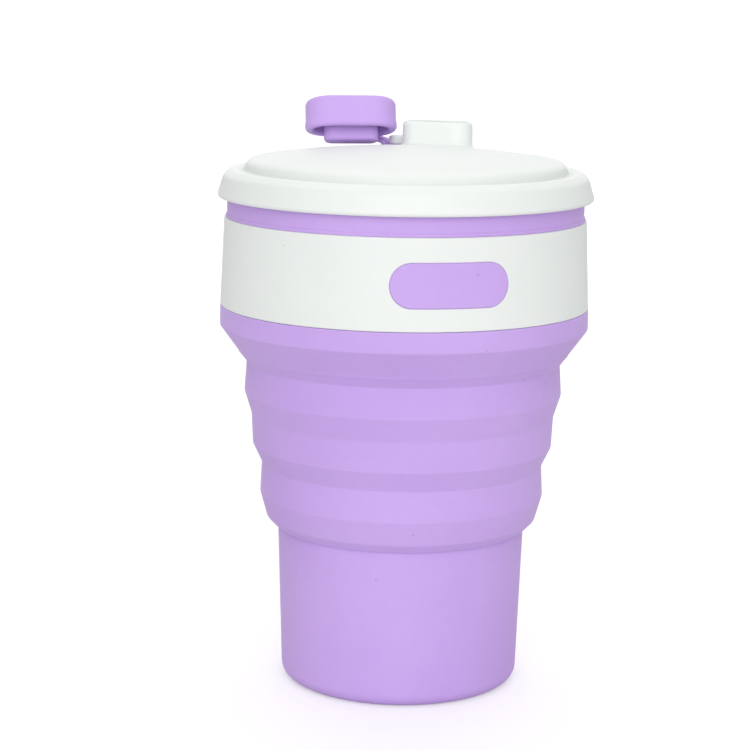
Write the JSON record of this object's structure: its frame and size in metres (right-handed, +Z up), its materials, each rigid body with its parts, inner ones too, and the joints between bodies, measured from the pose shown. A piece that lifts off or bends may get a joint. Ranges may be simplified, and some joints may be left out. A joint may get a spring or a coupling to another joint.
{
  "type": "collapsible travel cup",
  "caption": "Soft folding drinking cup with a stiff sleeve band, push-on lid, drinking spout and tethered stopper; folds down for travel.",
  "frame": {"origin": "centre of the foot, on the surface the cup stands on", "axes": "+Z up along the cup's axis; one grip pad faces -Y and the other +Y; +X is to the right of the -Y pad as seen from in front of it"},
  "size_m": [0.0948, 0.0948, 0.1483],
  "materials": {
    "soft_body": "matt moulded silicone, soft lilac",
    "stiff_white": "fine matt moulded polypropylene, white",
    "seal": "translucent natural silicone"
  },
  "bodies": {
    "lower_cup": {"lower_cup": "soft_body"},
    "lower_ring": {"lower_ring": "soft_body", "lower_fold": "soft_body"},
    "middle_ring": {"middle_ring": "soft_body", "middle_fold": "soft_body"},
    "upper_ring": {"upper_ring": "soft_body", "upper_fold": "soft_body"},
    "collar": {"cup_collar": "soft_body", "top_fold": "soft_body", "sleeve_band": "stiff_white"},
    "lid": {"lid": "stiff_white", "lid_seal": "seal"},
    "strap": {"stopper_strap": "soft_body"},
    "stopper": {"stopper_cap": "soft_body"}
  },
  "joints": [
    {"name": "fold_lower", "type": "slide", "parent": "lower_cup", "child": "lower_ring", "axis": [0, 0, -1], "range_m": [0, 0.0122], "deforming": ["lower_fold"]},
    {"name": "fold_middle", "type": "slide", "parent": "lower_ring", "child": "middle_ring", "axis": [0, 0, -1], "range_m": [0, 0.0099], "deforming": ["middle_fold"]},
    {"name": "fold_upper", "type": "slide", "parent": "middle_ring", "child": "upper_ring", "axis": [0, 0, -1], "range_m": [0, 0.0115], "deforming": ["upper_fold"]},
    {"name": "fold_top", "type": "slide", "parent": "upper_ring", "child": "collar", "axis": [0, 0, -1], "range_m": [0, 0.0187], "deforming": ["top_fold"]},
    {"name": "lid_lift", "type": "slide", "parent": "collar", "child": "lid", "axis": [0, 0, 1], "range_m": [0, 0.06]},
    {"name": "strap_swing", "type": "hinge", "parent": "lid", "child": "strap", "pos_m": [0.00561, 0.03337, 0.1344], "axis": [0, 0, -1], "range_deg": [0, 60]},
    {"name": "stopper_tip", "type": "hinge", "parent": "strap", "child": "stopper", "pos_m": [-0.00664, 0.03829, 0.1366], "axis": [-0.9947, 0.1028, 0], "range_deg": [0, 90]}
  ],
  "couplings": [
    {"joint": "fold_lower", "follows": "fold_top", "ratio": 0.65241},
    {"joint": "fold_middle", "follows": "fold_top", "ratio": 0.52941},
    {"joint": "fold_upper", "follows": "fold_top", "ratio": 0.61497}
  ]
}
